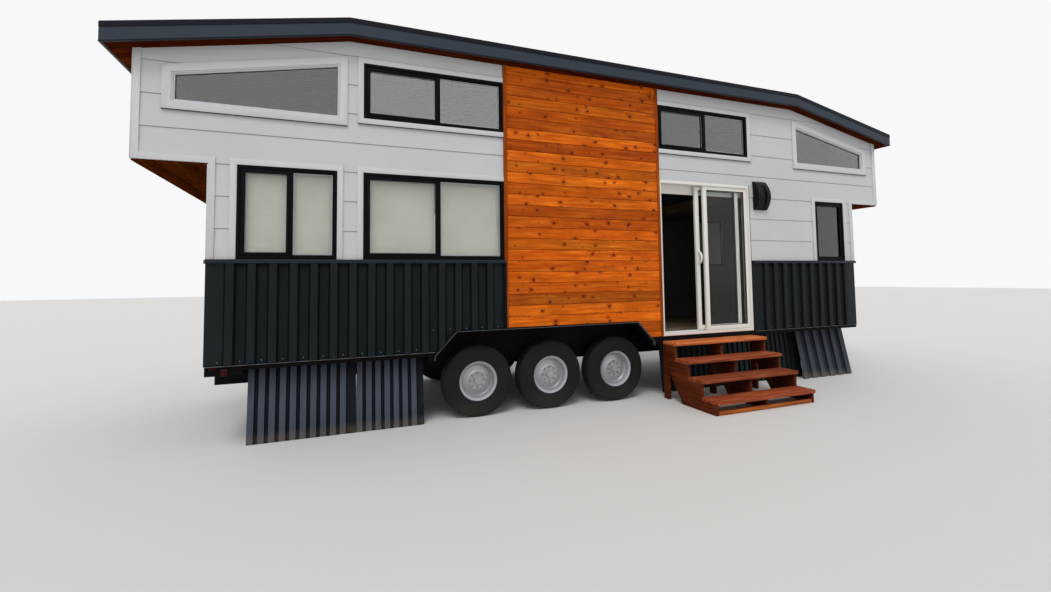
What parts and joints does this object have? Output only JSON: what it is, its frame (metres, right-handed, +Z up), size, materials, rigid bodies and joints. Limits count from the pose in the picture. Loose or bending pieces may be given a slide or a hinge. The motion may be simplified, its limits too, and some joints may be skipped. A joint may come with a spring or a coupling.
{
  "type": "tiny house on a trailer",
  "caption": "Tiny house on a road trailer with loft overhangs, a patio door that slides, steps and wheels that turn.",
  "frame": {"origin": "on the ground, under the middle of the overall box", "axes": "+X along the house towards the tow coupler, +Y into the depth from the door side, +Z up"},
  "size_m": [10.597, 3.6872, 4.224],
  "materials": {
    "siding": "pale grey painted lap board, matte",
    "trim_paint": "light grey painted board, matte",
    "stained_board": "orange stained knotty board, satin",
    "ribbed_metal": "dark slate coated sheet, satin",
    "skirt_metal": "grey-blue corrugated sheet, satin",
    "roof_metal": "dark grey standing seam sheet",
    "fascia_paint": "slate grey paint, satin",
    "soffit_wood": "dark brown stained board",
    "floor_board": "plain sheathing board",
    "black_frame": "black window frame, satin",
    "white_frame": "pale grey window frame",
    "white_vinyl": "white vinyl door frame",
    "window_glass": "clear glass",
    "blind_cloth": "cream roller blind",
    "redwood": "red-brown stained plank",
    "light_black": "black satin shade",
    "trailer_steel": "black painted steel",
    "tyre": "black rubber",
    "red_lens": "red lamp lens"
  },
  "bodies": {
    "root": {"axles": "trailer_steel", "back_trims": "trim_paint", "back_wainscot": "ribbed_metal", "back_wall_left": "siding", "back_wall_middle": "siding", "back_wall_right": "siding", "back_wall_wood": "stained_board", "back_window_frames": "black_frame", "chassis_rails": "trailer_steel", "corner_jacks": "trailer_steel", "crossmembers": "trailer_steel", "door_fixed_glass": "window_glass", "door_fixed_panel": "white_vinyl", "door_frame": "white_vinyl", "end_wainscot": "ribbed_metal", "end_window_frames": "black_frame", "fascia": "fascia_paint", "floor_deck": "floor_board", "front_trims": "trim_paint", "front_wainscot": "ribbed_metal", "front_wall_left": "siding", "front_wall_over_door": "siding", "front_wall_right": "siding", "front_wall_wood": "stained_board", "front_window_frames": "black_frame", "left_end_walls": "siding", "loft_floors": "floor_board", "loft_window_frames": "white_frame", "overhang_soffits": "soffit_wood", "porch_light": "light_black", "right_end_walls": "siding", "roof_metal": "roof_metal", "roof_panel": "floor_board", "skirts": "skirt_metal", "soffit_boards": "soffit_wood", "step_front_rail": "redwood", "step_posts": "redwood", "step_stringers": "redwood", "step_treads": "redwood", "tail_lights": "red_lens", "tongue_beams": "trailer_steel", "tongue_jack": "trailer_steel", "tow_coupler": "trailer_steel", "wheel_wells": "trailer_steel", "window_blinds": "blind_cloth", "window_glass": "window_glass"},
    "sliding_door": {"door_leaf": "white_vinyl", "door_leaf_glass": "window_glass", "door_handle": "white_vinyl"},
    "wheel_front_1": {"road_wheel_front_1": "tyre"},
    "wheel_front_2": {"road_wheel_front_2": "tyre"},
    "wheel_front_3": {"road_wheel_front_3": "tyre"},
    "wheel_back_1": {"road_wheel_back_1": "tyre"},
    "wheel_back_2": {"road_wheel_back_2": "tyre"},
    "wheel_back_3": {"road_wheel_back_3": "tyre"}
  },
  "joints": [
    {"name": "door_slide", "type": "slide", "parent": "root", "child": "sliding_door", "axis": [1, 0, 0], "range_m": [-0.593, 0.04]},
    {"name": "wheel_front_1_spin", "type": "hinge", "parent": "root", "child": "wheel_front_1", "pos_m": [-1.8915, -0.80235, 0.4], "axis": [0, 1, 0], "continuous": true},
    {"name": "wheel_front_2_spin", "type": "hinge", "parent": "root", "child": "wheel_front_2", "pos_m": [-1.0015, -0.80235, 0.4], "axis": [0, 1, 0], "continuous": true},
    {"name": "wheel_front_3_spin", "type": "hinge", "parent": "root", "child": "wheel_front_3", "pos_m": [-0.1115, -0.80235, 0.4], "axis": [0, 1, 0], "continuous": true},
    {"name": "wheel_back_1_spin", "type": "hinge", "parent": "root", "child": "wheel_back_1", "pos_m": [-1.8915, 1.58765, 0.4], "axis": [0, 1, 0], "continuous": true},
    {"name": "wheel_back_2_spin", "type": "hinge", "parent": "root", "child": "wheel_back_2", "pos_m": [-1.0015, 1.58765, 0.4], "axis": [0, 1, 0], "continuous": true},
    {"name": "wheel_back_3_spin", "type": "hinge", "parent": "root", "child": "wheel_back_3", "pos_m": [-0.1115, 1.58765, 0.4], "axis": [0, 1, 0], "continuous": true}
  ]
}
